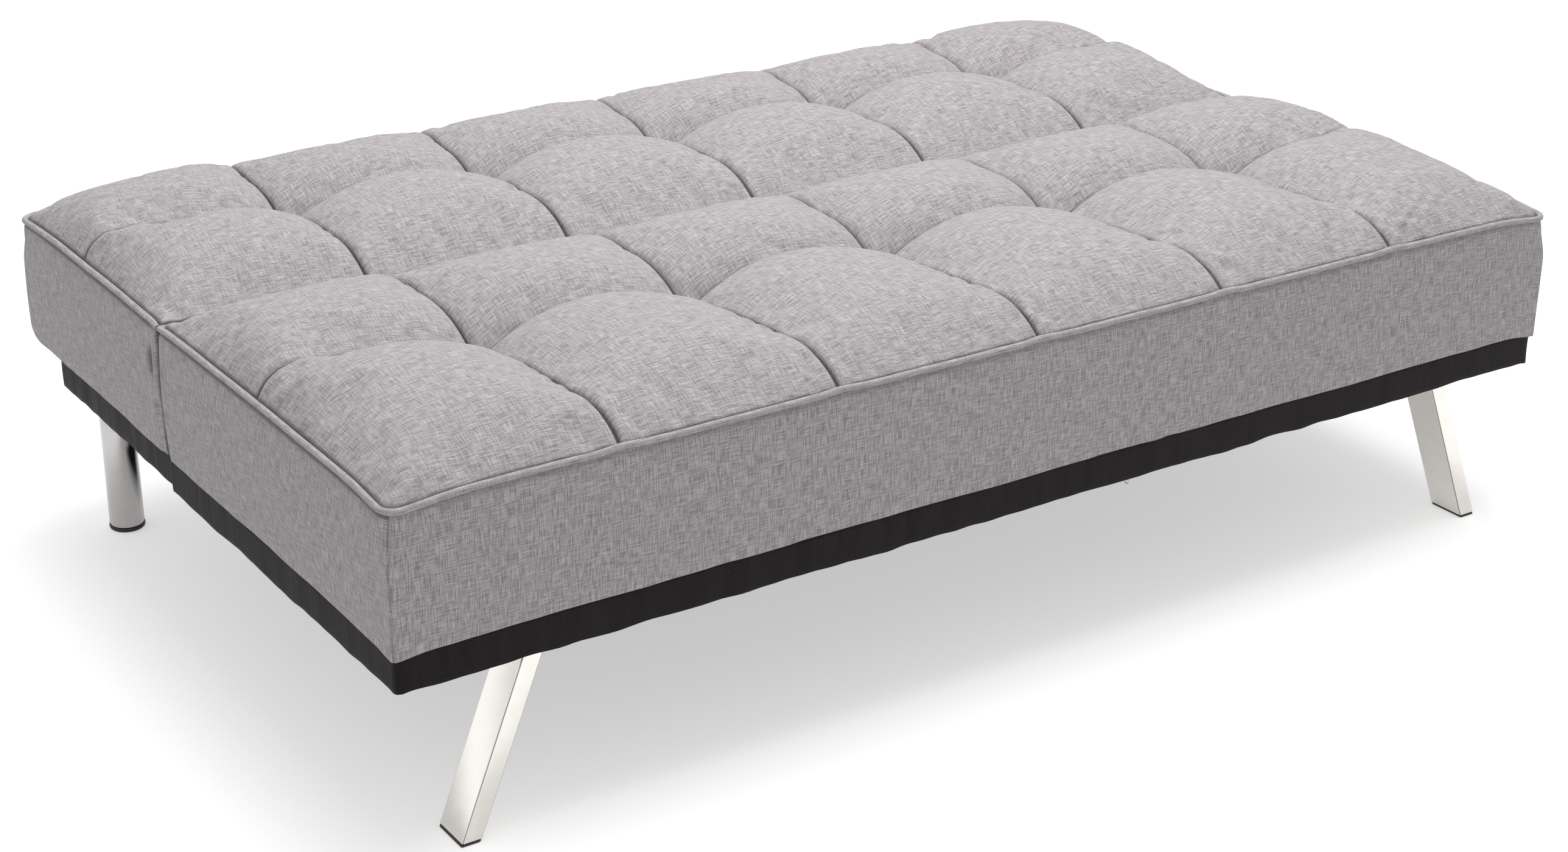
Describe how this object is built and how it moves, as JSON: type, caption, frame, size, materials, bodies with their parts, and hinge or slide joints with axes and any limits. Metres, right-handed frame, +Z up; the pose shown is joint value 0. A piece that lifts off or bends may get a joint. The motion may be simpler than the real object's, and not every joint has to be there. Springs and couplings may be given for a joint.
{
  "type": "click clack sofa bed",
  "caption": "Click clack sofa bed lying flat: tufted fabric seat and folding back on a low covered base, with splayed front legs and round rear legs.",
  "frame": {"origin": "on the floor under the middle of the sofa bed as it lies flat", "axes": "+X along the sofa to the right as seen from the front, +Y from the front of the seat to the far edge of the back, +Z up"},
  "size_m": [1.6994, 1.0894, 0.4738],
  "materials": {
    "grey_fabric": "heathered linen-look weave, light warm grey",
    "grey_piping": "the same cloth cut on the bias over a cord",
    "black_cover": "black lining cloth with a slight satin sheen",
    "dust_cloth": "thin black non-woven cloth",
    "wadding": "felted pad",
    "pine": "sawn pine",
    "frame_steel": "black powder coat",
    "spring_steel": "drawn wire",
    "zinc_steel": "zinc plated",
    "chrome": "polished",
    "black_plastic": "moulded"
  },
  "bodies": {
    "base": {"base_corner_block_left": "pine", "base_corner_block_right": "pine", "base_cover_front": "black_cover", "base_cover_rear": "black_cover", "base_cross_rail_left": "pine", "base_cross_rail_right": "pine", "base_front_rail": "pine", "base_mid_rail": "pine", "base_rear_rail": "pine", "base_side_rail_front_left": "pine", "base_side_rail_front_right": "pine", "base_side_rail_rear_left": "pine", "base_side_rail_rear_right": "pine", "dust_cover": "dust_cloth", "front_leg_glide_left": "black_plastic", "front_leg_glide_right": "black_plastic", "front_leg_left": "chrome", "front_leg_plate_left": "chrome", "front_leg_plate_right": "chrome", "front_leg_right": "chrome", "hinge_pawl_pin_left": "zinc_steel", "hinge_pawl_pin_right": "zinc_steel", "hinge_pawl_spring_left": "spring_steel", "hinge_pawl_spring_right": "spring_steel", "hinge_pivot_pin_left": "zinc_steel", "hinge_pivot_pin_right": "zinc_steel", "hinge_seat_plate_left": "zinc_steel", "hinge_seat_plate_right": "zinc_steel", "rear_leg_cap_left": "black_plastic", "rear_leg_cap_right": "black_plastic", "rear_leg_left": "chrome", "rear_leg_right": "chrome", "rear_leg_stud_left": "zinc_steel", "rear_leg_stud_right": "zinc_steel", "seat_cushion": "grey_fabric", "seat_deck_pad": "wadding", "seat_front_tube": "frame_steel", "seat_piping": "grey_piping", "seat_rear_tube": "frame_steel", "seat_side_panel": "grey_fabric", "seat_side_tube_left": "frame_steel", "seat_side_tube_right": "frame_steel", "seat_springs": "spring_steel", "zip_tape": "black_cover"},
    "backrest": {"back_cushion": "grey_fabric", "back_deck_pad": "wadding", "back_front_tube": "frame_steel", "back_piping": "grey_piping", "back_rear_tube": "frame_steel", "back_side_panel": "grey_fabric", "back_side_tube_left": "frame_steel", "back_side_tube_right": "frame_steel", "back_springs": "spring_steel", "back_underside_panel": "grey_fabric", "hinge_back_arm_left": "zinc_steel", "hinge_back_arm_right": "zinc_steel"},
    "left_pawl": {"hinge_pawl_left": "zinc_steel"},
    "right_pawl": {"hinge_pawl_right": "zinc_steel"},
    "slider": {"zip_slider": "zinc_steel"},
    "ring_pull": {"zip_pull": "zinc_steel"}
  },
  "joints": [
    {"name": "back_fold", "type": "hinge", "parent": "base", "child": "backrest", "pos_m": [0, 0.065, 0.412], "axis": [1, 0, 0], "range_deg": [0, 75]},
    {"name": "left_pawl_lift", "type": "hinge", "parent": "base", "child": "left_pawl", "pos_m": [-0.805, 0.0355, 0.36073], "axis": [1, 0, 0], "range_deg": [0, 12], "stiffness_Nm_per_rad": 0.05, "springref_deg": -17.19},
    {"name": "right_pawl_lift", "type": "hinge", "parent": "base", "child": "right_pawl", "pos_m": [0.805, 0.0355, 0.36073], "axis": [1, 0, 0], "range_deg": [0, 12], "stiffness_Nm_per_rad": 0.05, "springref_deg": -17.19},
    {"name": "zip_slide", "type": "slide", "parent": "base", "child": "slider", "axis": [1, 0, 0], "range_m": [-0.59, 0.01]},
    {"name": "ring_pull_swing", "type": "hinge", "parent": "slider", "child": "ring_pull", "pos_m": [0.15, -0.528, 0.2075], "axis": [0, 1, 0], "range_deg": [-75, 75]}
  ]
}
